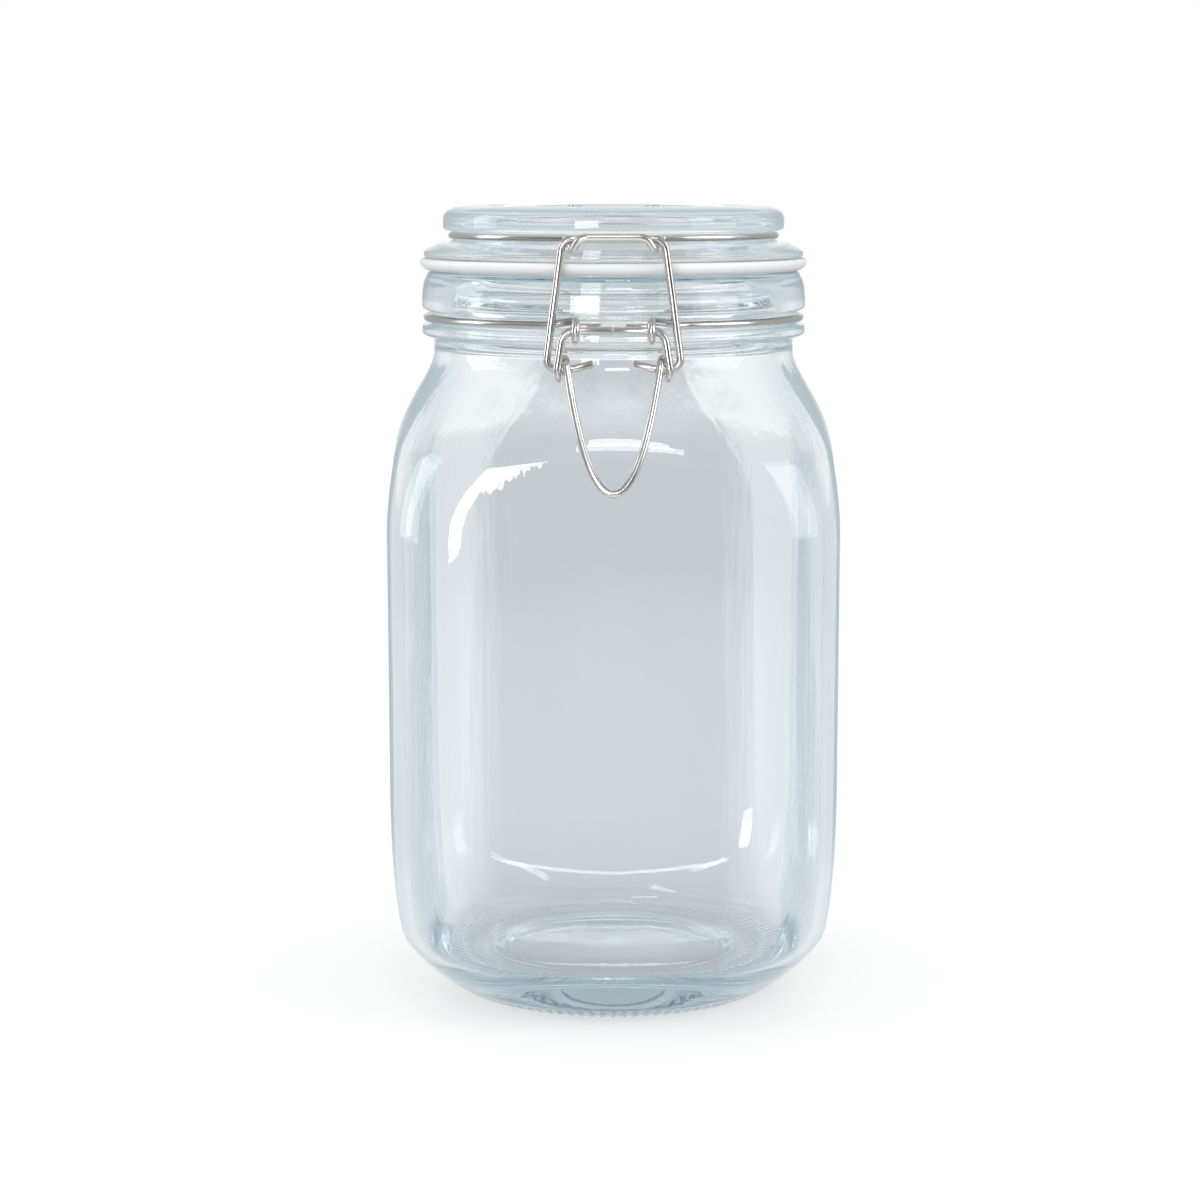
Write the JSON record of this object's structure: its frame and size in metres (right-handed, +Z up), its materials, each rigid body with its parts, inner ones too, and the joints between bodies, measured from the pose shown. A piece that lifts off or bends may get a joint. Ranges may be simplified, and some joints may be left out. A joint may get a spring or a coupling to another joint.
{
  "type": "clip-top glass storage jar",
  "caption": "Square clear glass storage jar with a round neck, a hinged glass lid on a soft sealing ring, and a wire bail closure tightened by an over-centre lever.",
  "frame": {"origin": "on the plane that the jar stands on, under the middle of the box that holds the whole jar; the jar's own axis is 2.0 mm behind it, at y = +2.043 mm", "axes": "+Z up along the axis of the body and the neck, -Y the front, where the lever is, +X to the right seen from the front"},
  "size_m": [0.1124, 0.1182, 0.2041],
  "materials": {
    "body_glass": "clear moulded glass, smooth and glossy, slightly wavy inside",
    "lid_glass": "clear pressed glass, smooth and glossy",
    "seal": "translucent white silicone, satin",
    "wire_steel": "bright drawn stainless spring wire"
  },
  "bodies": {
    "jar": {"jar_body": "body_glass", "neck_wire": "wire_steel"},
    "lid": {"lid": "lid_glass", "gasket": "seal", "lid_wire": "wire_steel"},
    "lever": {"lever": "wire_steel"},
    "bail": {"bail": "wire_steel"}
  },
  "joints": [
    {"name": "lid_hinge", "type": "hinge", "parent": "jar", "child": "lid", "pos_m": [0, 0.05564, 0.188], "axis": [-1, 0, 0], "range_deg": [0, 215]},
    {"name": "lever_pivot", "type": "hinge", "parent": "jar", "child": "lever", "pos_m": [0, -0.05006, 0.1748], "axis": [-1, 0, 0], "range_deg": [0, 105]},
    {"name": "bail_pivot", "type": "hinge", "parent": "lever", "child": "bail", "pos_m": [0, -0.04766, 0.1655], "axis": [-1, 0, 0], "range_deg": [-73.5, 0]}
  ],
  "couplings": [
    {"joint": "bail_pivot", "follows": "lever_pivot", "ratio": -0.7}
  ]
}
